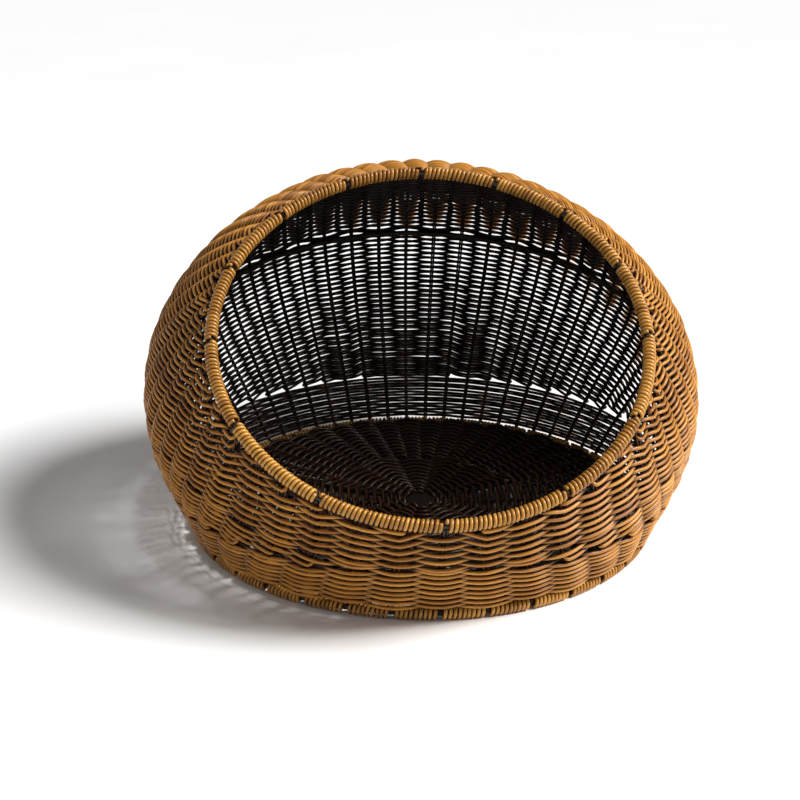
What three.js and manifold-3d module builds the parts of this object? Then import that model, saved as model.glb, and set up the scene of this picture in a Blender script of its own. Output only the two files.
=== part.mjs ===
// Wicker pet bed basket: a squat round basket woven from synthetic rattan on a
// wire frame, with a flat woven floor, a low front wall and a tilted round mouth.
// Millimetres, +Z up, the low front faces -Y. The basket stands on z = 0.
import * as THREE from 'three';
import { mergeVertices } from 'three/addons/utils/BufferGeometryUtils.js';
import Module from 'manifold-3d';

// Frame rods
const HOOP_R = 2.5;
const ROD_R = 1.6;
const BELT_R = 2.3;
const CHANNEL_HALF = 2.2;
const GAP = 0.3;

// Wraps: strand wound around the base hoop and the rim hoop
const WRAP_R = 5.7;
const WRAP_BORE_R = 3.5;
const WRAP_SIDES = 8;
const WRAP_BREAK = 2.3;

// Base hoop, flat on the ground
const BASE_R = 208;
const BASE_Z = WRAP_R;

// Rim hoop, tilted down towards the front
const RIM_R = 183.3;
const RIM_Y = -91.6;
const RIM_Z = 204;
const RIM_TILT = THREE.MathUtils.degToRad(34.4);

// Wall profile, a cubic curve from base hoop to rim hoop in each direction
const FOOT_ANGLE = THREE.MathUtils.degToRad(59);
const FOOT_REACH = 0.308;
const LIP_ANGLE = THREE.MathUtils.degToRad(50.6);
const LIP_ANGLE_SWING = THREE.MathUtils.degToRad(51.6);
const LIP_REACH = 0.603;
const LIP_REACH_SWING = -0.113;
const INSET = 4.7;

// Woven sheets
const WALL_HALF = 5;
const WALL_EDGE = 8.4;
const BAND_TOP = 48;
const FLOOR_HALF = 4.4;
const FLOOR_R = BASE_R - WRAP_R - 5 * GAP;
const FLOOR_Z = BASE_Z + HOOP_R + GAP + ROD_R;
const HUB_R = 13;
const HUB_HALF = 1.6;

// Stakes: closer together at the back; every third one is a steel rod
const STAKES = 42;
const STAKE_BIAS = 0.206;
const ROD_EVERY = 3;

// Belt hoop: lies against the inside of the wall in one tilted plane
const BELT_FRONT_Z = 54;
const BELT_BACK_Z = 207;
const BELT_INSET = WALL_HALF + 4 * GAP + BELT_R;

// Puts the middle of the whole basket's box over the origin
const SHIFT_Y = -1.285;

const wasm = await Module();
wasm.setup();

const steel = new THREE.MeshStandardMaterial({ color: 0x1b1715, roughness: 0.5, metalness: 0.8 });
const strand = new THREE.MeshStandardMaterial({ color: 0xb07a34, roughness: 0.42, metalness: 0 });
const weave = new THREE.MeshStandardMaterial({ color: 0x9a6426, roughness: 0.5, metalness: 0 });

const basket = new THREE.Group();
basket.position.y = SHIFT_Y;

function add(name, geometry, material, parent = basket) {
  const mesh = new THREE.Mesh(geometry, material);
  mesh.name = name;
  parent.add(mesh);
  return mesh;
}

// Angle 0 is the front, 90 degrees is +X. Solves angle - bias * sin(angle) = turn.
function stakeAngle(k) {
  const turn = (2 * Math.PI * k) / STAKES;
  let angle = turn;
  for (let i = 0; i < 40; i += 1) {
    angle = turn + STAKE_BIAS * Math.sin(angle);
  }
  return angle;
}

function outward(angle) {
  return new THREE.Vector3(Math.sin(angle), -Math.cos(angle), 0);
}

function basePoint(angle) {
  return outward(angle).multiplyScalar(BASE_R).setZ(BASE_Z);
}

function rimPoint(angle) {
  const across = -RIM_R * Math.cos(angle);
  return new THREE.Vector3(
    RIM_R * Math.sin(angle),
    RIM_Y + across * Math.cos(RIM_TILT),
    RIM_Z + across * Math.sin(RIM_TILT),
  );
}

// The wall's middle surface along one stake, as a list of points with arc lengths
function stakeCurve(angle) {
  const foot = basePoint(angle);
  const lip = rimPoint(angle);
  const out = outward(angle);
  const span = foot.distanceTo(lip);
  const lipAngle = LIP_ANGLE + LIP_ANGLE_SWING * Math.cos(angle);
  const lipReach = LIP_REACH + LIP_REACH_SWING * Math.cos(angle);
  const p1 = foot.clone()
    .addScaledVector(out, span * FOOT_REACH * Math.cos(FOOT_ANGLE) - INSET * Math.sin(FOOT_ANGLE));
  p1.z += span * FOOT_REACH * Math.sin(FOOT_ANGLE) + INSET * Math.cos(FOOT_ANGLE);
  const p2 = lip.clone()
    .addScaledVector(out, span * lipReach * Math.cos(lipAngle) - INSET * Math.sin(lipAngle));
  p2.z -= span * lipReach * Math.sin(lipAngle) + INSET * Math.cos(lipAngle);
  return new THREE.CubicBezierCurve3(foot, p1, p2, lip);
}

function wallLength(angle) {
  return stakeCurve(angle).getLength();
}

function wallPoint(angle, s) {
  const curve = stakeCurve(angle);
  return curve.getPointAt(s / curve.getLength());
}

function wallNormal(angle, s) {
  const step = 0.02;
  const up = wallPoint(angle, s + 1).sub(wallPoint(angle, s - 1));
  const a = angle + step;
  const b = angle - step;
  const part = s / wallLength(angle);
  const along = wallPoint(a, part * wallLength(a)).sub(wallPoint(b, part * wallLength(b)));
  return along.cross(up).normalize();
}

function cleaned(geometry) {
  const copy = geometry.clone();
  copy.deleteAttribute('normal');
  copy.deleteAttribute('uv');
  return mergeVertices(copy, 1e-4);
}

function toSolid(geometry) {
  const merged = cleaned(geometry);
  return new wasm.Manifold(new wasm.Mesh({
    numProp: 3,
    vertProperties: new Float32Array(merged.attributes.position.array),
    triVerts: new Uint32Array(merged.index.array),
  }));
}

function toGeometry(solid) {
  const mesh = solid.getMesh();
  const geometry = new THREE.BufferGeometry();
  geometry.setAttribute('position', new THREE.BufferAttribute(mesh.vertProperties, 3));
  geometry.setIndex(new THREE.BufferAttribute(mesh.triVerts, 1));
  return geometry;
}

function ringShape(radius, sides) {
  const shape = new THREE.Shape();
  const corner = radius / Math.cos(Math.PI / sides);
  for (let i = 0; i < sides; i += 1) {
    const a = ((i + 0.5) * 2 * Math.PI) / sides;
    const x = corner * Math.cos(a);
    const y = corner * Math.sin(a);
    if (i === 0) {
      shape.moveTo(x, y);
    } else {
      shape.lineTo(x, y);
    }
  }
  shape.closePath();
  return shape;
}

// A course of straight stretches through given points, one extrusion step each
class Course extends THREE.Curve {
  constructor(points) {
    super();
    this.points = points;
  }

  getPoint(t) {
    const place = Math.min(Math.max(t, 0), 1) * (this.points.length - 1);
    const i = Math.min(Math.floor(place), this.points.length - 2);
    return this.points[i].clone().lerp(this.points[i + 1], place - i);
  }

  getPointAt(t) {
    return this.getPoint(t);
  }

  getTangentAt(t) {
    return this.getTangent(t);
  }
}

function rodAlong(points, radius, sides) {
  const settings = {
    steps: points.length - 1,
    extrudePath: new Course(points),
    curveSegments: 1,
  };
  return new THREE.ExtrudeGeometry(ringShape(radius, sides), settings);
}

// An arc in the XY plane, angle 0 at -Y, turning towards +X
class FlatArc extends THREE.Curve {
  constructor(radius, from, to) {
    super();
    this.radius = radius;
    this.from = from;
    this.to = to;
  }

  getPoint(t) {
    return outward(this.from + (this.to - this.from) * t).multiplyScalar(this.radius);
  }
}

function wrapSleeve(radius, from, to) {
  const shape = ringShape(WRAP_R, WRAP_SIDES);
  shape.holes.push(ringShape(WRAP_BORE_R, 6));
  const steps = Math.max(3, Math.round((to - from) / 0.13));
  return new THREE.ExtrudeGeometry(shape, {
    steps,
    extrudePath: new FlatArc(radius, from, to),
    curveSegments: 1,
  });
}

// Closed sheet of even thickness around the whole wall, between two heights
function wallSheet(lower, upper, rows) {
  const points = [];
  for (let i = 0; i < STAKES; i += 1) {
    const angle = stakeAngle(i);
    const length = wallLength(angle);
    const s0 = lower(length);
    const s1 = upper(length);
    for (let j = 0; j <= rows; j += 1) {
      const s = s0 + ((s1 - s0) * j) / rows;
      const middle = wallPoint(angle, s);
      const normal = wallNormal(angle, s);
      points.push(middle.clone().addScaledVector(normal, WALL_HALF));
      points.push(middle.clone().addScaledVector(normal, -WALL_HALF));
    }
  }
  const at = (i, j, side) => ((i % STAKES) * (rows + 1) + j) * 2 + side;
  const faces = [];
  const quad = (a, b, c, d) => faces.push(a, b, c, a, c, d);
  for (let i = 0; i < STAKES; i += 1) {
    for (let j = 0; j < rows; j += 1) {
      quad(at(i, j, 0), at(i + 1, j, 0), at(i + 1, j + 1, 0), at(i, j + 1, 0));
      quad(at(i, j, 1), at(i, j + 1, 1), at(i + 1, j + 1, 1), at(i + 1, j, 1));
    }
    quad(at(i, 0, 1), at(i + 1, 0, 1), at(i + 1, 0, 0), at(i, 0, 0));
    quad(at(i, rows, 0), at(i + 1, rows, 0), at(i + 1, rows, 1), at(i, rows, 1));
  }
  const geometry = new THREE.BufferGeometry().setFromPoints(points);
  geometry.setIndex(faces);
  return geometry;
}

// One rod: out along the floor, over the base hoop, up the wall, square to the rim
function rodCourse(angle) {
  const out = outward(angle);
  const points = [HUB_R + GAP, BASE_R - 8, BASE_R]
    .map((r) => out.clone().multiplyScalar(r).setZ(FLOOR_Z));
  points.push(out.clone().multiplyScalar(BASE_R + 4.6).setZ(FLOOR_Z + 2.6));
  const length = wallLength(angle);
  const count = Math.max(2, Math.round((length - 42) / 30));
  for (let i = 0; i <= count; i += 1) {
    points.push(wallPoint(angle, 18 + ((length - 42) * i) / count));
  }
  const rim = rimPoint(angle);
  const tangent = rimPoint(angle + 0.01).sub(rimPoint(angle - 0.01)).normalize();
  const inward = wallPoint(angle, length - 12).sub(rim);
  inward.addScaledVector(tangent, -inward.dot(tangent)).normalize();
  points.push(rim.clone().addScaledVector(inward, 10));
  points.push(rim.clone().addScaledVector(inward, HOOP_R + GAP));
  return points;
}

// Rods
const rodAngles = [];
for (let k = 0; k < STAKES; k += ROD_EVERY) {
  rodAngles.push(stakeAngle(k));
}
rodAngles.forEach((angle, i) => {
  const name = `frame_rod_${String(i + 1).padStart(2, '0')}`;
  add(name, rodAlong(rodCourse(angle), ROD_R, 6), steel);
});
const channels = rodAngles.map((angle) => toSolid(rodAlong(rodCourse(angle), CHANNEL_HALF, 4)));

// Hoops
const rimFrame = new THREE.Group();
rimFrame.position.set(0, RIM_Y, RIM_Z);
rimFrame.rotation.x = RIM_TILT;
basket.add(rimFrame);
add('rim_hoop', new THREE.TorusGeometry(RIM_R, HOOP_R, 6, 60), steel, rimFrame);
const baseHoop = add('base_hoop', new THREE.TorusGeometry(BASE_R, HOOP_R, 6, 60), steel);
baseHoop.position.z = BASE_Z;

// Belt hoop: where the tilted plane meets the inside of the wall, butted at the front
function beltPoint(angle) {
  const slope = (BELT_BACK_Z - BELT_FRONT_Z) / 464;
  let low = 8;
  let high = wallLength(angle) - 8;
  for (let i = 0; i < 30; i += 1) {
    const s = (low + high) / 2;
    const p = wallPoint(angle, s);
    if (p.z < BELT_FRONT_Z + (p.y + 230) * slope) {
      low = s;
    } else {
      high = s;
    }
  }
  const s = (low + high) / 2;
  return wallPoint(angle, s).addScaledVector(wallNormal(angle, s), -BELT_INSET);
}
const beltPoints = [];
for (let i = 0; i <= STAKES; i += 1) {
  const shift = i === 0 ? 0.0015 : 0;
  beltPoints.push(beltPoint(i === STAKES ? -0.0015 : stakeAngle(i) + shift));
}
add('belt_hoop', rodAlong(beltPoints, BELT_R, 6), steel);

// Wraps between neighbouring rods
rodAngles.forEach((angle, i) => {
  const next = i + 1 < rodAngles.length ? rodAngles[i + 1] : 2 * Math.PI;
  const number = String(i + 1).padStart(2, '0');
  const rimSleeve = wrapSleeve(RIM_R, angle + WRAP_BREAK / RIM_R, next - WRAP_BREAK / RIM_R);
  add(`rim_wrap_${number}`, rimSleeve, strand, rimFrame);
  const baseSleeve = wrapSleeve(BASE_R, angle + WRAP_BREAK / BASE_R, next - WRAP_BREAK / BASE_R);
  add(`base_wrap_${number}`, baseSleeve, strand).position.z = BASE_Z;
});

// Woven wall: a lower band and the body above it, with a channel for each rod
function channelled(geometry) {
  let solid = toSolid(geometry);
  channels.forEach((channel) => {
    solid = solid.subtract(channel);
  });
  return toGeometry(solid);
}
const band = wallSheet(() => WALL_EDGE, () => BAND_TOP, 2);
add('wall_weave_lower', channelled(band), weave);
const body = wallSheet(() => BAND_TOP + GAP, (length) => length - WALL_EDGE, 7);
add('wall_weave_upper', channelled(body), weave);

// Woven floor around the hub disc
const floorProfile = [
  new THREE.Vector2(HUB_R + 2, -FLOOR_HALF),
  new THREE.Vector2(FLOOR_R, -FLOOR_HALF),
  new THREE.Vector2(FLOOR_R, FLOOR_HALF),
  new THREE.Vector2(HUB_R + 2, FLOOR_HALF),
  new THREE.Vector2(HUB_R + 2, -FLOOR_HALF),
];
const floorSheet = new THREE.LatheGeometry(floorProfile, 42);
floorSheet.rotateX(Math.PI / 2);
floorSheet.translate(0, 0, FLOOR_Z);
add('floor_weave', channelled(floorSheet), weave);
const hub = new THREE.CylinderGeometry(HUB_R, HUB_R, HUB_HALF * 2, 28);
hub.rotateX(Math.PI / 2);
add('floor_hub', hub, steel).position.z = FLOOR_Z;

export default basket;
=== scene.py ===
"""Wicker pet bed basket: every strand of the weave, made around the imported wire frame.

Lengths are in millimetres and are turned into metres where a mesh is made. Angle 0 is the
low front of the basket (-Y) and 90 degrees is its right side (+X). A point on the wall is
an angle and a height s, the length along the wall's profile from the base hoop. The way
round is also counted from the front in stakes, as a turn, and in the frame's own steps, as
a place.
"""
import math

import bpy
import numpy as np
from mathutils import Matrix, Vector


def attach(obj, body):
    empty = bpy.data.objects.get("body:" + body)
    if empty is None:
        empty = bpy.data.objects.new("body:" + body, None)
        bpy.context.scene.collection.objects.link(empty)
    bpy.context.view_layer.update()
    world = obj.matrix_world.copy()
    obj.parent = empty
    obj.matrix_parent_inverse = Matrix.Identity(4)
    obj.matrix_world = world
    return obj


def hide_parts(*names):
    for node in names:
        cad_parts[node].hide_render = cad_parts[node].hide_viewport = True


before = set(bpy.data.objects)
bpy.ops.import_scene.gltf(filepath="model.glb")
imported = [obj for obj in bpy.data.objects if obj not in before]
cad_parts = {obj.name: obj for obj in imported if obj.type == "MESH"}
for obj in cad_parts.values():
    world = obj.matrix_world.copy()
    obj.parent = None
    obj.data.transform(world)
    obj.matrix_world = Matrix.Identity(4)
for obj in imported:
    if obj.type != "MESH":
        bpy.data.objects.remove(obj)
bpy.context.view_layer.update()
rng = np.random.default_rng(11)

MM = 0.001
MM_PER_UV = 10
UV_STARTS = 50

# Hoops and the shift that puts the middle of the basket's box over the origin, as in the frame
BASE_R = 208
BASE_Z = 5.7
RIM_R = 183.3
RIM_Y = -91.6
RIM_Z = 204
RIM_TILT = math.radians(34.4)
SHIFT = np.array([0, -1.285, 0])

# Wall profile: a cubic curve from base hoop to rim hoop in each direction
FOOT_ANGLE = math.radians(59)
FOOT_REACH = 0.308
LIP_ANGLE = math.radians(50.6)
LIP_ANGLE_SWING = math.radians(51.6)
LIP_REACH = 0.603
LIP_REACH_SWING = -0.113
INSET = 4.7
PROFILE_STEPS = 48

# The belt hoop's tilted plane, as in the frame
BELT_FRONT_Y = -230
BELT_FRONT_Z = 54
BELT_BACK_Z = 207
BELT_LENGTH = 464
BELT_SLOPE = (BELT_BACK_Z - BELT_FRONT_Z) / BELT_LENGTH

# Steel rods, as in the frame: at every third of 42 places, which crowd towards the back
PLACES = 42
PLACE_BIAS = 0.206
PLACE_ROUNDS = 40
ROD_EVERY = 3

# Stakes, the uprights that the strand is woven around: how many in each bay from the front to
# the back, counting one of the bay's two steel rods. Each is a pair of thin strands, with a
# gap between the two at the front. A steel rod has one of the pair on each side of it at the
# front, and none at the back.
STAKES_IN_BAY = (3, 3, 4, 4, 4, 4, 4)
STAKES = 2 * sum(STAKES_IN_BAY)
LAST_WIDE_PAIR = 6
PAIR_R = 1.1
WIDE_SPREAD = 1.75
ROD_SPREAD = 2.7
CLOSE_SPREAD = 1.0
STAKE_STEP = 6
STAKE_END_GAP = 1
STAKE_SIDES = 6

# Weaving strand and the pitch of its rows, which are looser at the front. FRONT_FADE is how
# quickly that ends.
STRAND_R_FRONT = 1.64
STRAND_R_BACK = 1.46
BAND_PITCH = 3.0
PITCH_FRONT = 3.9
PITCH_BACK = 2.6
FRONT_FADE = 2
STEPS_PER_STAKE = 8
STRAND_SIDES = 8

# How the strand goes in and out: its swing, how much further that is at a steel rod, and
# how square its wave is
SWING = 2.9
ROD_SWING = 0.4
SQUARENESS = 0.6

# Where a pair of rows ends, in stakes: how far its U-turn reaches past the stake, and within
# how much of the way to the next one the rest of the rows close up
U_TURN_REACH = 0.09
U_TURN_STEPS = 7
CLOSING = 0.45

# How much of the rows above or below the belt hoop is in the piece next to it
BY_BELT_SHARE = 0.42

# Unevenness: the size of each wobble, and how many steps apart it changes
HEIGHT_WOBBLE = (0.22, 20)
SWING_WOBBLE = (0.03, 20)
THICKNESS_WOBBLE = (0.02, 12)
STAKE_WOBBLE = (0.1, 6)
FLOOR_WOBBLE = (0.25, 12)

# Tone of each kind of strand, from 0 to 1: the middle, how much strands differ, and the
# wobble along one
WALL_TONE = (0.5, 0.11, (0.1, 30))
FLOOR_TONE = (0.5, 0.18, (0.1, 16))
STAKE_TONE = (0.35, 0.15)
SPOKE_TONE = 0.3

# Depth that sets the painted shade on a strand, strongest deep in the weave and on the inside
# of the basket: how many millimetres lead from the outside to the inside of the weave, and
# where the stakes and the floor are taken to be
PAINTED_SHADE_DEPTH_RANGE = 5.5
STAKE_PAINTED_SHADE_DEPTH = -0.6
FLOOR_PAINTED_SHADE_DEPTH = -1.6

# Where the rows run, as heights s, and their distance from the rim
BAND_START = 7.9
BAND_TOP = 46.9
WEDGE_START = 48.6
RIM_CLEAR = 5.8

# Wraps around the hoops
WRAP_STRAND_R = 1.55
WRAP_TURN_R = 4.15
WRAP_PITCH = 3.75
WRAP_BREAK = 2.2
STEPS_PER_TURN = 14
WRAP_LEAN = (0.22, STEPS_PER_TURN)
WRAP_TONE = (0.55, 0.12, (0.16, STEPS_PER_TURN))

# Floor
FLOOR_Z = 10.1
FLOOR_STRAND_R = 1.9
FLOOR_SWING = 2.9
FLOOR_PITCH = 4.3
FLOOR_START = 17
FLOOR_END = 198
FLOOR_ROUND_START = 45
FLOOR_RADIUS_PER_STEP = 22
STEPS_PER_OUTER_SPOKE = 4
EXTRA_SPOKES_START = 102
SPOKE_MARGIN = 3
SPOKE_POINTS = 12
CORNER_SPOKES = 6

UP = np.array([0.0, 0.0, 1.0])


# ---------------------------------------------------------------- the basket's surfaces

def place_angle(place):
    """The angle at a place's number, found by repeating the frame's rule until it settles."""
    even = 2 * np.pi * np.asarray(place, float) / PLACES
    angle = even
    for _ in range(PLACE_ROUNDS):
        angle = even + PLACE_BIAS * np.sin(angle)
    return angle


def rod_table():
    """The stake number and the angle of each steel rod, with two bays more at each end, and
    the angle gained for each stake there."""
    bays = STAKES_IN_BAY + STAKES_IN_BAY[::-1]
    bays = bays[-2:] + bays + bays[:2]
    numbers = np.cumsum((0,) + bays) - sum(bays[:2])
    rods = np.arange(-2, len(bays) - 1)
    angles = place_angle(rods * ROD_EVERY)
    return numbers, angles, np.gradient(angles, numbers)


ROD_NUMBERS, ROD_ANGLES, ROD_SLOPES = rod_table()


def stake_angle(turn):
    """The angle at a stake's number, which may be a fraction: smooth between the rods."""
    turn = np.asarray(turn, float)
    i = np.clip(np.searchsorted(ROD_NUMBERS, turn, side="right") - 1, 0, len(ROD_NUMBERS) - 2)
    step = ROD_NUMBERS[i + 1] - ROD_NUMBERS[i]
    t = (turn - ROD_NUMBERS[i]) / step
    ends = ROD_ANGLES[i] * (1 + 2 * t) * (1 - t) ** 2 + ROD_ANGLES[i + 1] * t**2 * (3 - 2 * t)
    return ends + step * t * (1 - t) * (ROD_SLOPES[i] * (1 - t) - ROD_SLOPES[i + 1] * t)


def from_front(turn):
    """How many stakes a turn is from the front, either way."""
    return STAKES / 2 - np.abs(np.mod(turn, STAKES) - STAKES / 2)


def frontness(turn):
    """1 at the front, falling to 0 at the back."""
    return (0.5 + 0.5 * np.cos(stake_angle(turn))) ** FRONT_FADE


def unit(vectors):
    return vectors / np.linalg.norm(vectors, axis=-1, keepdims=True)


def outward(angle):
    return np.stack([np.sin(angle), -np.cos(angle), np.zeros_like(angle)], axis=-1)


def base_point(angle):
    return BASE_R * outward(angle) + BASE_Z * UP + SHIFT


def rim_point(angle):
    across = -RIM_R * np.cos(angle)
    y = RIM_Y + across * math.cos(RIM_TILT)
    z = RIM_Z + across * math.sin(RIM_TILT)
    return np.stack([RIM_R * np.sin(angle), y, z], axis=-1) + SHIFT


def profile(angle):
    """The four control points of the wall's profile, for an array of angles."""
    foot, lip, out = base_point(angle), rim_point(angle), outward(angle)
    span = np.linalg.norm(lip - foot, axis=-1)[..., None]
    swing = np.cos(angle)[..., None]
    lip_angle = LIP_ANGLE + LIP_ANGLE_SWING * swing
    foot_reach = span * FOOT_REACH
    lip_reach = span * (LIP_REACH + LIP_REACH_SWING * swing)
    foot_out = foot_reach * math.cos(FOOT_ANGLE) - INSET * math.sin(FOOT_ANGLE)
    foot_up = foot_reach * math.sin(FOOT_ANGLE) + INSET * math.cos(FOOT_ANGLE)
    lip_out = lip_reach * np.cos(lip_angle) - INSET * np.sin(lip_angle)
    lip_down = lip_reach * np.sin(lip_angle) + INSET * np.cos(lip_angle)
    above_foot = foot + out * foot_out + UP * foot_up
    below_lip = lip + out * lip_out - UP * lip_down
    return np.stack([foot, above_foot, below_lip, lip], axis=-2)


def along_profile(points, t):
    """Points on cubic curves."""
    t = t[..., None]
    r = 1 - t
    a, b, c, d = (points[..., i, :] for i in range(4))
    return a * r**3 + 3 * b * r**2 * t + 3 * c * r * t**2 + d * t**3


def profile_lengths(angle):
    """For each angle, the length from the base hoop to each of the profile's steps."""
    steps = np.broadcast_to(
        np.linspace(0, 1, PROFILE_STEPS + 1), (len(angle), PROFILE_STEPS + 1)
    )
    course = along_profile(profile(angle)[:, None], steps)
    pieces = np.linalg.norm(np.diff(course, axis=1), axis=2)
    return steps, np.concatenate([np.zeros((len(angle), 1)), np.cumsum(pieces, 1)], 1)


def wall_length(angle):
    return profile_lengths(angle)[1][:, -1]


def wall(angle, s):
    """Points on the middle of the wall, and the wall's outward direction there."""
    steps, lengths = profile_lengths(angle)
    t = np.array([np.interp(h, l, st) for h, l, st in zip(s, lengths, steps)])
    points = profile(angle)
    here = along_profile(points, t)
    small = 0.01
    rise = along_profile(points, t + small) - along_profile(points, t - small)
    round_it = along_profile(profile(angle + small), t) - along_profile(profile(angle - small), t)
    return here, unit(np.cross(round_it, rise))


def belt_height(angle):
    """The height s where the belt hoop's tilted plane cuts the wall."""
    steps, lengths = profile_lengths(angle)
    course = along_profile(profile(angle)[:, None], steps)
    plane = BELT_FRONT_Z + (course[..., 1] - SHIFT[1] - BELT_FRONT_Y) * BELT_SLOPE
    over = course[..., 2] - plane
    return np.array([np.interp(0, o, l) for o, l in zip(over, lengths)])


# ---------------------------------------------------------------- strands into meshes

class Strands:
    """Collects round strands and makes one mesh of them.

    Each point holds "tone", the strand's own shade, and a second value for painted shade: how far
    it is on the inside of the basket and deep in the weave. The UV map runs around the strand and,
    in centimetres, along it.
    """

    def __init__(self):
        self.points, self.faces, self.uvs = [], [], []
        self.tones, self.painted_shades = [], []
        self.count = 0

    def sweep(self, centre, side, radius, tone, shade_depth=None, closed=False, sides=STRAND_SIDES):
        """A strand along centre. side is a direction across it at each point, and the depth is
        the height of each point over the middle of the weave, which only sets the painted shade."""
        n = len(centre)
        if closed:
            tangent = unit(np.roll(centre, -1, 0) - np.roll(centre, 1, 0))
        else:
            tangent = unit(np.gradient(centre, axis=0))
        side = unit(side - tangent * np.sum(side * tangent, -1, keepdims=True))
        third = np.cross(tangent, side)
        around = 2 * np.pi * np.arange(sides) / sides
        radius = np.broadcast_to(radius, n)
        ring = side[:, None] * np.cos(around)[:, None] + third[:, None] * np.sin(around)[:, None]
        self.points.append((centre[:, None] + radius[:, None, None] * ring).reshape(-1, 3))
        # Painted shade: more the deeper a point lies in the weave and the more it faces the
        # inside.
        if shade_depth is None:
            painted_shade = np.zeros((n, sides))
        else:
            over = shade_depth[:, None] + radius[:, None] * np.cos(around)
            painted_shade = np.clip(0.5 - over / PAINTED_SHADE_DEPTH_RANGE, 0, 1)
        self.painted_shades.append(painted_shade.ravel())
        self.tones.append(np.repeat(np.broadcast_to(tone, n), sides))
        self._quads(centre, n, sides, closed)
        if not closed:
            first = self.count + np.arange(sides)
            last = first + (n - 1) * sides
            self.faces.append(first[::-1][None])
            self.faces.append(last[None])
            self.uvs.append(np.zeros((2 * sides, 2)))
        self.count += n * sides

    def _quads(self, centre, n, sides, closed):
        """The faces around the strand, with a UV map that starts at a place of its own."""
        rings = n if closed else n - 1
        i, j = np.meshgrid(np.arange(rings), np.arange(sides), indexing="ij")
        i, j = i.ravel(), j.ravel()
        here, ahead = i * sides, ((i + 1) % n) * sides
        beside = (j + 1) % sides
        quads = np.stack([here + j, here + beside, ahead + beside, ahead + j], 1)
        self.faces.append(quads + self.count)
        step = np.linalg.norm(np.roll(centre, -1, 0) - centre, axis=1)
        start = rng.random() * UV_STARTS
        length = np.concatenate([[0], np.cumsum(step)]) / MM_PER_UV + start
        u0, u1 = j / sides, (j + 1) / sides
        v0, v1 = length[i], length[i + 1]
        corners = [np.stack([u, v], 1) for u, v in ((u0, v0), (u1, v0), (u1, v1), (u0, v1))]
        self.uvs.append(np.stack(corners, 1).reshape(-1, 2))

    def build(self, name, material, slot, *nodes):
        """The finished piece, which rides on the root and stands for the CAD nodes."""
        mesh = bpy.data.meshes.new(name)
        points = np.concatenate(self.points) * MM
        faces = [face for group in self.faces for face in group.tolist()]
        mesh.from_pydata(points.tolist(), [], faces)
        mesh.uv_layers.new(name="along").data.foreach_set("uv", np.concatenate(self.uvs).ravel())
        for label, values in (("tone", self.tones), ("painted_shade", self.painted_shades)):
            data = mesh.attributes.new(label, "FLOAT", "POINT").data
            data.foreach_set("value", np.concatenate(values).astype(np.float32))
        mesh.polygons.foreach_set("use_smooth", np.ones(len(mesh.polygons), bool))
        mesh.materials.append(material)
        mesh.update()
        piece = bpy.data.objects.new(name, mesh)
        bpy.context.scene.collection.objects.link(piece)
        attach(piece, "root")
        if nodes:
            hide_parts(*nodes)


def wander(n, wobble, closed=False):
    """A smooth seeded wobble along n points."""
    size, spacing = wobble
    knots = max(4, n // spacing)
    values = rng.normal(0, size, knots)
    if closed:
        values = np.append(values, values[0])
    place = np.linspace(0, len(values) - 1, n + 1 if closed else n)[:n]
    return np.interp(place, np.arange(len(values)), values)


def toned(n, tone, closed=False):
    """A seeded tone for one strand, which changes along its n points."""
    middle, spread, wobble = tone
    return np.clip(rng.normal(middle, spread) + wander(n, wobble, closed), 0, 1)


# ---------------------------------------------------------------- wall

def swing_at(turn):
    """How far the strand swings from the wall's middle; further around a steel rod."""
    to_rod = np.abs(np.asarray(turn)[..., None] - ROD_NUMBERS).min(-1)
    return SWING + ROD_SWING * np.clip(1 - to_rod, 0, 1)


def in_and_out(turn, parity):
    """The strand's height over the wall's middle: outside one stake, inside the next."""
    wave = np.tanh(SQUARENESS * np.cos(np.pi * turn)) / math.tanh(SQUARENESS)
    return parity * swing_at(turn) * wave


def weave(strands, turn, s, lift, closed=True):
    """One strand woven along the wall."""
    n = len(turn)
    s = s + wander(n, HEIGHT_WOBBLE, closed)
    lift = lift * (1 + wander(n, SWING_WOBBLE, closed))
    middle, normal = wall(stake_angle(turn), s)
    tone = toned(n, WALL_TONE, closed)
    radius = STRAND_R_BACK + (STRAND_R_FRONT - STRAND_R_BACK) * frontness(turn)
    radius = radius * (1 + wander(n, THICKNESS_WOBBLE, closed))
    # The lift also sets the painted shade, deepest where the strand passes inside.
    strands.sweep(middle + normal * lift[:, None], normal, radius, tone, lift, closed)


def ring_row(strands, height, parity):
    """A row that goes all the way round. height gives s from the turn."""
    turn = np.arange(STAKES * STEPS_PER_STAKE) / STEPS_PER_STAKE
    weave(strands, turn, height(turn), in_and_out(turn, parity))


def returning_rows(strands, first_stake, near, far):
    """Two rows made of one strand, round the back from first_stake to its mirror image,
    which turns back round the stake at each end. near and far give s from the turn."""
    last_stake = STAKES - first_stake
    count = (last_stake - first_stake) * STEPS_PER_STAKE + 1
    turn = np.linspace(first_stake, last_stake, count)
    bend = np.linspace(0, np.pi, U_TURN_STEPS + 2)[1:-1]
    out = np.cos(bend)
    share = (1 - out) / 2
    rise = (near(turn), far(turn))
    lift = (in_and_out(turn, 1), in_and_out(turn, -1))
    turns = (
        turn,
        last_stake + U_TURN_REACH * np.sin(bend),
        turn[::-1],
        first_stake - U_TURN_REACH * np.sin(bend),
    )
    heights = (
        rise[0],
        rise[0][-1] + (rise[1][-1] - rise[0][-1]) * share,
        rise[1][::-1],
        rise[1][0] + (rise[0][0] - rise[1][0]) * share,
    )
    lifts = (lift[0], lift[0][-1] * out, lift[1][::-1], lift[1][0] * out)
    weave(strands, np.concatenate(turns), np.concatenate(heights), np.concatenate(lifts))


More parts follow.
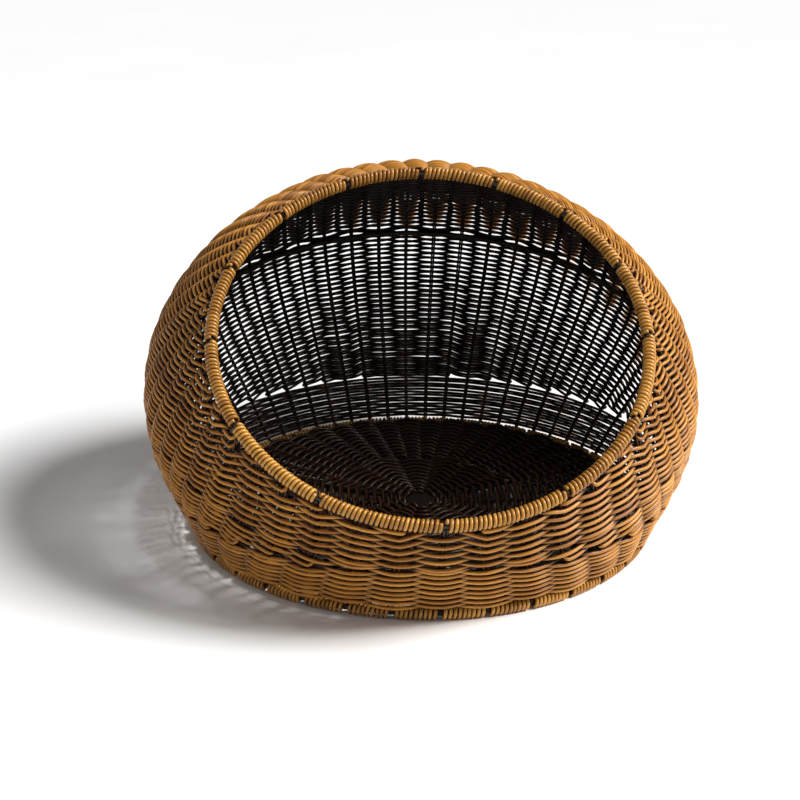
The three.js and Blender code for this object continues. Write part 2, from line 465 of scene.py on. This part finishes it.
def rows_from_belt(by_belt, beyond, direction, limit):
    """Rows level with the belt, in pairs, above or below it, packed to fill the room that
    each stake has between the belt and the limit. Where a pair ends at a stake, the rest
    close up just past it. The rows nearer to the belt go to by_belt, the others to beyond."""
    half_round = np.arange(STAKES // 2 + 1)
    angle = stake_angle(half_round)
    loose = PITCH_BACK + (PITCH_FRONT - PITCH_BACK) * frontness(half_round)
    room = direction * (limit(angle) - belt_height(angle))
    pairs = np.maximum(np.round(room / (2 * loose)), 0)
    packed = np.where(pairs > 0, room / (2 * np.maximum(pairs, 1)), loose)

    def row_height(row):
        def height(turn):
            away = from_front(turn)
            stake = np.floor(away)
            close = np.clip((away - stake - 1) / CLOSING + 1, 0, 1)
            pitch = np.interp(stake + close, half_round, packed)
            return belt_height(stake_angle(turn)) + direction * (row + 0.5) * pitch
        return height

    for pair in range(int(pairs.max())):
        strands = by_belt if pair < BY_BELT_SHARE * pairs.max() else beyond
        near, far = row_height(2 * pair), row_height(2 * pair + 1)
        first_stake = int(np.argmax(pairs > pair))
        if first_stake == 0:
            ring_row(strands, near, 1)
            ring_row(strands, far, -1)
        elif first_stake < STAKES // 2 - 1:
            returning_rows(strands, first_stake, near, far)


def make_lower_wall(material):
    """The band near the ground, with level rows."""
    strands = Strands()
    rows = round((BAND_TOP - BAND_START) / BAND_PITCH)
    pitch = (BAND_TOP - BAND_START) / rows
    for i in range(rows + 1):
        height = BAND_START + i * pitch
        ring_row(strands, lambda turn: np.full(len(turn), height), 1 if i % 2 else -1)
    strands.build("woven_wall_lower", material, "woven_strand", "wall_weave_lower")


def make_upper_wall(material):
    """The rows from the belt hoop up to the rim, as two pieces."""
    by_belt, by_rim = Strands(), Strands()
    rows_from_belt(by_belt, by_rim, 1, lambda angle: wall_length(angle) - RIM_CLEAR)
    by_belt.build("woven_wall_over_belt", material, "woven_strand", "wall_weave_upper")
    by_rim.build("woven_wall_by_rim", material, "woven_strand")


def make_middle_wall(material):
    """The rows from the belt hoop down to the band, as two pieces."""
    by_belt, by_band = Strands(), Strands()
    rows_from_belt(by_belt, by_band, -1, lambda angle: np.full(len(angle), WEDGE_START))
    by_belt.build("woven_wall_under_belt", material, "woven_strand")
    by_band.build("woven_wall_over_band", material, "woven_strand")


def stake_strands(k):
    """How far beside its middle the strands of one stake lie."""
    wide = from_front(k) <= LAST_WIDE_PAIR
    if k in ROD_NUMBERS:
        return (-ROD_SPREAD, ROD_SPREAD) if wide else ()
    spread = WIDE_SPREAD if wide else CLOSE_SPREAD
    return -spread, spread


def make_stakes(material):
    """Thin upright strands, from the base hoop to the rim hoop."""
    strands = Strands()
    for k in range(STAKES):
        angle = float(stake_angle(k))
        length = float(wall_length(np.array([angle]))[0])
        s = np.linspace(STAKE_END_GAP, length - STAKE_END_GAP, int(length / STAKE_STEP))
        middle, normal = wall(np.full(len(s), angle), s)
        beside = np.cross(unit(np.gradient(middle, axis=0)), normal)
        # Painted shade for the stakes, as though they lay a little inside the weave's middle.
        shade_depth = np.full(len(s), STAKE_PAINTED_SHADE_DEPTH)
        for spread in stake_strands(k):
            place = spread + wander(len(s), STAKE_WOBBLE)
            tone = np.clip(rng.normal(*STAKE_TONE), 0, 1)
            centre = middle + beside * place[:, None]
            strands.sweep(centre, normal, PAIR_R, tone, shade_depth, sides=STAKE_SIDES)
    strands.build("wall_stakes", material, "woven_strand")


# ---------------------------------------------------------------- wraps

def wind(strands, hoop_point, hoop_axis, hoop_r, start, end):
    """One length of strand wound around a hoop between two angles."""
    gap = WRAP_BREAK / hoop_r
    start, end = start + gap, end - gap
    turns = max(2, round((end - start) * hoop_r / WRAP_PITCH))
    t = np.linspace(0, 1, turns * STEPS_PER_TURN + 1)
    lean = wander(len(t), WRAP_LEAN) / hoop_r
    angle = start + (end - start) * t + lean
    small = 0.001
    forward = unit(hoop_point(angle + small) - hoop_point(angle - small))
    side = np.cross(forward, hoop_axis)
    phase = 2 * np.pi * turns * t + np.pi / 2
    away = side * np.cos(phase)[:, None] + hoop_axis * np.sin(phase)[:, None]
    wander(len(t), (0, STEPS_PER_TURN // 2))  # not used, but it holds the later draws in place
    tone = toned(len(t), WRAP_TONE)
    centre = hoop_point(angle) + away * WRAP_TURN_R
    strands.sweep(centre, away, WRAP_STRAND_R, tone)


def make_binding(name, material, hoop_point, hoop_axis, hoop_r, every, nodes):
    """A hoop's whole wrap, broken at every so many of the frame's places."""
    strands = Strands()
    for k in range(0, PLACES, every):
        wind(strands, hoop_point, hoop_axis, hoop_r, place_angle(k), place_angle(k + every))
    strands.build(name, material, "binding_strand", *nodes)


# ---------------------------------------------------------------- floor

def floor_row(strands, radius, parity):
    """A ring of the floor, straight between its corner spokes near the hub and round near
    the wall, over one spoke and under the next."""
    if radius < EXTRA_SPOKES_START:
        spokes_step, steps = ROD_EVERY, 2 * max(2, round(radius / FLOOR_RADIUS_PER_STEP))
    else:
        spokes_step, steps = 1, STEPS_PER_OUTER_SPOKE
    place = np.arange(0, PLACES, spokes_step / steps)
    angle = place_angle(place)
    before = np.floor(place / CORNER_SPOKES) * CORNER_SPOKES
    from_angle, to_angle = place_angle(before), place_angle(before + CORNER_SPOKES)
    half, middle = (to_angle - from_angle) / 2, (to_angle + from_angle) / 2
    straight = np.cos(half) / np.cos(angle - middle)
    roundness = np.clip((radius - FLOOR_ROUND_START) / (FLOOR_END - FLOOR_ROUND_START), 0, 1)
    reach = radius * (straight + (1 - straight) * roundness)
    reach = reach + wander(len(place), FLOOR_WOBBLE, closed=True)
    lift = parity * FLOOR_SWING * np.cos(np.pi * place / spokes_step)
    centre = outward(angle) * reach[:, None] + UP * (FLOOR_Z + lift)[:, None] + SHIFT
    tone = toned(len(place), FLOOR_TONE, closed=True)
    side = np.broadcast_to(UP, centre.shape)
    # Painted shade over the floor, as though it lay inside the weave.
    shade_depth = np.full(len(place), FLOOR_PAINTED_SHADE_DEPTH)
    strands.sweep(centre, side, FLOOR_STRAND_R, tone, shade_depth, closed=True)


def make_floor(material):
    """The floor's rings, and the spokes that start part of the way out, between the rods."""
    strands = Strands()
    rows = round((FLOOR_END - FLOOR_START) / FLOOR_PITCH)
    for i in range(rows + 1):
        floor_row(strands, FLOOR_START + i * FLOOR_PITCH, 1 if i % 2 else -1)
    for k in range(PLACES):
        if k % ROD_EVERY:
            out = outward(place_angle(k))
            reach = np.linspace(
                EXTRA_SPOKES_START - SPOKE_MARGIN, BASE_R - SPOKE_MARGIN, SPOKE_POINTS
            )
            centre = out * reach[:, None] + UP * FLOOR_Z + SHIFT
            side = np.broadcast_to(UP, centre.shape)
            # Painted shade for the spokes too.
            shade_depth = np.full(len(reach), FLOOR_PAINTED_SHADE_DEPTH)
            strands.sweep(centre, side, PAIR_R, SPOKE_TONE, shade_depth, sides=STAKE_SIDES)
    strands.build("woven_floor", material, "woven_strand", "floor_weave")


# ---------------------------------------------------------------- materials

# The Mix node's sockets for colours, by number, because its sockets share names
MIX_FACTOR, MIX_A, MIX_B, MIX_RESULT = 0, 6, 7, 2


class Nodes:
    """Short calls for making one material's nodes."""

    def __init__(self, name):
        self.material = bpy.data.materials.new(name)
        self.material.use_nodes = True
        self.tree = self.material.node_tree
        self.shader = self.tree.nodes["Principled BSDF"]

    def fill(self, node, inputs):
        """Gives each named or numbered input a link or a value."""
        for key, value in inputs.items():
            if isinstance(value, bpy.types.NodeSocket):
                self.tree.links.new(value, node.inputs[key])
            else:
                node.inputs[key].default_value = value

    def add(self, kind, inputs=None, **settings):
        node = self.tree.nodes.new(kind)
        for key, value in settings.items():
            setattr(node, key, value)
        self.fill(node, inputs or {})
        return node

    def set(self, **inputs):
        """Sets the shader's own inputs."""
        self.fill(self.shader, {key.replace("_", " "): v for key, v in inputs.items()})

    def attribute(self, name):
        return self.add("ShaderNodeAttribute", attribute_name=name).outputs["Fac"]

    def ramp(self, factor, *stops):
        """A colour ramp. Each stop is a place and a colour."""
        node = self.add("ShaderNodeValToRGB", {"Fac": factor})
        ends = node.color_ramp.elements
        while len(ends) < len(stops):
            ends.new(0.5)
        for end, (place, colour) in zip(ends, stops):
            end.position = place
            end.color = (*colour, 1)
        return node.outputs["Color"]

    def mix(self, factor, a, b, blend="MIX"):
        """Two colours mixed. A colour is a socket or three numbers."""
        colours = [c if isinstance(c, bpy.types.NodeSocket) else (*c, 1) for c in (a, b)]
        inputs = dict(zip((MIX_FACTOR, MIX_A, MIX_B), (factor, *colours)))
        node = self.add("ShaderNodeMix", data_type="RGBA", blend_type=blend)
        self.fill(node, inputs)
        return node.outputs[MIX_RESULT]

    def math(self, operation, a, b=0.0):
        inputs = {0: a, 1: b}
        return self.add("ShaderNodeMath", inputs, operation=operation).outputs["Value"]

    def noise(self, vector, scale, detail=3.0, roughness=0.55):
        inputs = {"Vector": vector, "Scale": scale, "Detail": detail, "Roughness": roughness}
        return self.add("ShaderNodeTexNoise", inputs).outputs["Fac"]

    def bump(self, height, strength, distance):
        inputs = {"Height": height, "Strength": strength, "Distance": distance}
        return self.add("ShaderNodeBump", inputs).outputs["Normal"]


def strand_material(name, dark, middle, light, inside, roughness, coat):
    """Round synthetic rattan: streaks along the strand in three tones, with a painted highlight
    on the side that faces out and painted shade on the side that faces in, and painted shade
    spread inside the basket and deep in the weave."""
    n = Nodes(name)
    along = n.add("ShaderNodeUVMap", uv_map="along").outputs["UV"]
    places = n.add("ShaderNodeTexCoord").outputs["Object"]
    stretched = n.add("ShaderNodeMapping", {"Vector": along, "Scale": (9, 0.7, 1)})
    streaks = n.noise(stretched.outputs["Vector"], 1.0, 4.0, 0.6)
    fine = n.add("ShaderNodeMapping", {"Vector": along, "Scale": (26, 1.6, 1)})
    ridges = n.noise(fine.outputs["Vector"], 1.0, 2.0)
    patches = n.noise(places, 14.0, 2.0)
    around = n.add("ShaderNodeSeparateXYZ", {"Vector": along}).outputs["X"]
    # Painted light: a cosine round the strand makes the side that faces out lighter, a painted
    # highlight, and the side that faces in darker, painted shade. That is the side facing out of
    # the wall, away from the hoop, or up on the floor.
    facing = n.math("COSINE", n.math("MULTIPLY", around, 2 * math.pi))
    shade = n.math("MULTIPLY", n.attribute("tone"), 0.5)
    for part, share in ((streaks, 0.42), (facing, 0.16), (patches, 0.2)):
        shade = n.math("ADD", shade, n.math("MULTIPLY", part, share))
    colour = n.ramp(shade, (0.28, dark), (0.56, middle), (0.86, light))
    # Painted shade: the colour is multiplied by the inside colour where a point lies deep in the
    # weave or on the inside of the basket.
    painted_shade = n.ramp(n.attribute("painted_shade"), (0.1, (0, 0, 0)), (0.5, (1, 1, 1)))
    darker = n.mix(1.0, colour, inside, "MULTIPLY")
    n.set(
        Base_Color=n.mix(painted_shade, colour, darker),
        Roughness=n.math("ADD", n.math("MULTIPLY", streaks, 0.22), roughness - 0.11),
        Normal=n.bump(ridges, 0.35, 0.0003),
        Coat_Weight=coat,
        Coat_Roughness=0.22,
        IOR=1.5,
        Specular_IOR_Level=0.3,
    )
    return n.material


def steel_material():
    """Black-brown lacquered steel wire with a little wear."""
    n = Nodes("lacquered steel wire")
    places = n.add("ShaderNodeTexCoord").outputs["Object"]
    patches = n.noise(places, 60.0)
    grain = n.noise(places, 900.0, 2.0)
    n.set(
        Base_Color=n.ramp(patches, (0.3, (0.012, 0.008, 0.006)), (0.75, (0.04, 0.026, 0.018))),
        Roughness=n.math("ADD", n.math("MULTIPLY", grain, 0.2), 0.32),
        Normal=n.bump(grain, 0.2, 0.0002),
        Metallic=0.3,
    )
    return n.material


def floor_plane_material():
    """Pale and nearly even."""
    n = Nodes("pale studio floor")
    places = n.add("ShaderNodeTexCoord").outputs["Object"]
    n.set(
        Base_Color=n.ramp(n.noise(places, 3.0), (0.2, (0.9, 0.9, 0.9)), (0.8, (0.93, 0.93, 0.93))),
        Roughness=0.75,
    )
    return n.material


# ---------------------------------------------------------------- studio

def make_stage():
    """A wide pale floor under the basket."""
    mesh = bpy.data.meshes.new("studio_floor")
    half = 30  # metres, past the horizon of every view
    corners = [(-half, -half, 0), (half, -half, 0), (half, half, 0), (-half, half, 0)]
    mesh.from_pydata(corners, [], [(0, 1, 2, 3)])
    mesh.materials.append(floor_plane_material())
    plane = bpy.data.objects.new("studio_floor", mesh)
    bpy.context.scene.collection.objects.link(plane)


def make_light(name, place, aim, size, power, colour=(1, 1, 1)):
    """A square area lamp. Lengths are in metres and power is in watts."""
    light = bpy.data.lights.new(name, "AREA")
    light.size = size
    light.energy = power
    light.color = colour
    lamp = bpy.data.objects.new(name, light)
    lamp.location = place
    lamp.rotation_euler = (Vector(aim) - Vector(place)).to_track_quat("-Z", "Y").to_euler()
    bpy.context.scene.collection.objects.link(lamp)


def make_sun(towards, strength, spread):
    """Even light over the whole floor, from one side and above. spread is in degrees."""
    light = bpy.data.lights.new("sun", "SUN")
    light.energy = strength
    light.angle = math.radians(spread)
    lamp = bpy.data.objects.new("sun", light)
    lamp.rotation_euler = Vector(towards).to_track_quat("Z", "Y").to_euler()
    bpy.context.scene.collection.objects.link(lamp)


def make_world(strength):
    world = bpy.data.worlds.new("studio")
    world.use_nodes = True
    background = world.node_tree.nodes["Background"]
    background.inputs["Color"].default_value = (1, 1, 1, 1)
    background.inputs["Strength"].default_value = strength
    bpy.context.scene.world = world


def make_camera():
    """The view from the front, a little from the left, looking down into the mouth."""
    azimuth, elevation, roll = math.radians(-3.5), math.radians(21.2), math.radians(0.37)
    place = Vector((-0.1030, -1.3582, 0.6387))
    back = Vector((
        math.sin(azimuth) * math.cos(elevation),
        -math.cos(azimuth) * math.cos(elevation),
        math.sin(elevation),
    ))
    right = Vector((math.cos(azimuth), math.sin(azimuth), 0))
    up = back.cross(right)
    tilted_right = right * math.cos(roll) + up * math.sin(roll)
    tilted_up = up * math.cos(roll) - right * math.sin(roll)
    facing = Matrix((tilted_right, tilted_up, back)).transposed().to_4x4()
    camera = bpy.data.cameras.new("camera")
    camera.lens = 72.04
    camera.sensor_width = 36
    eye = bpy.data.objects.new("camera", camera)
    eye.matrix_world = Matrix.Translation(place) @ facing
    bpy.context.scene.collection.objects.link(eye)
    bpy.context.scene.camera = eye


# ---------------------------------------------------------------- the whole scene

wall_material = strand_material(
    "woven rattan strand",
    dark=(0.08, 0.022, 0.001),
    middle=(0.29, 0.1, 0.007),
    light=(0.66, 0.3, 0.045),
    # inside is the colour that paints shade deep in the weave and inside the basket
    inside=(0.04, 0.02, 0.017),
    roughness=0.4,
    coat=0.2,
)
binding_material = strand_material(
    "binding rattan strand",
    dark=(0.12, 0.042, 0.004),
    middle=(0.28, 0.108, 0.01),
    light=(0.6, 0.29, 0.05),
    # inside paints shade only where a strand has a depth, and the wraps have none, so it is not
    # reached
    inside=(0.3, 0.22, 0.18),
    roughness=0.32,
    coat=0.35,
)
steel = steel_material()

make_camera()
make_lower_wall(wall_material)
make_middle_wall(wall_material)
make_upper_wall(wall_material)
make_stakes(wall_material)
make_floor(wall_material)

wrap_numbers = [f"{i:02d}" for i in range(1, PLACES // ROD_EVERY + 1)]
rim_axis = np.array([0, -math.sin(RIM_TILT), math.cos(RIM_TILT)])
make_binding(
    "rim_binding", binding_material, rim_point, rim_axis, RIM_R, every=ROD_EVERY,
    nodes=[f"rim_wrap_{i}" for i in wrap_numbers],
)
make_binding(
    "base_binding", binding_material, base_point, UP, BASE_R, every=1,
    nodes=[f"base_wrap_{i}" for i in wrap_numbers],
)

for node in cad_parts.values():
    for material_slot in node.material_slots:
        material_slot.material = steel

make_stage()
make_world(strength=0.2)
make_sun(towards=(1.2, 0.0, 1.15), strength=4.1, spread=22)
make_light(
    "key", place=(1.3, -0.6, 1.7), aim=(0.05, 0, 0.12), size=0.35, power=15,
    colour=(1, 0.97, 0.92),
)
make_light("fill", place=(-1.8, -1.0, 0.9), aim=(0, 0, 0.12), size=0.8, power=2.5)
bpy.context.scene.view_settings.view_transform = "Standard"
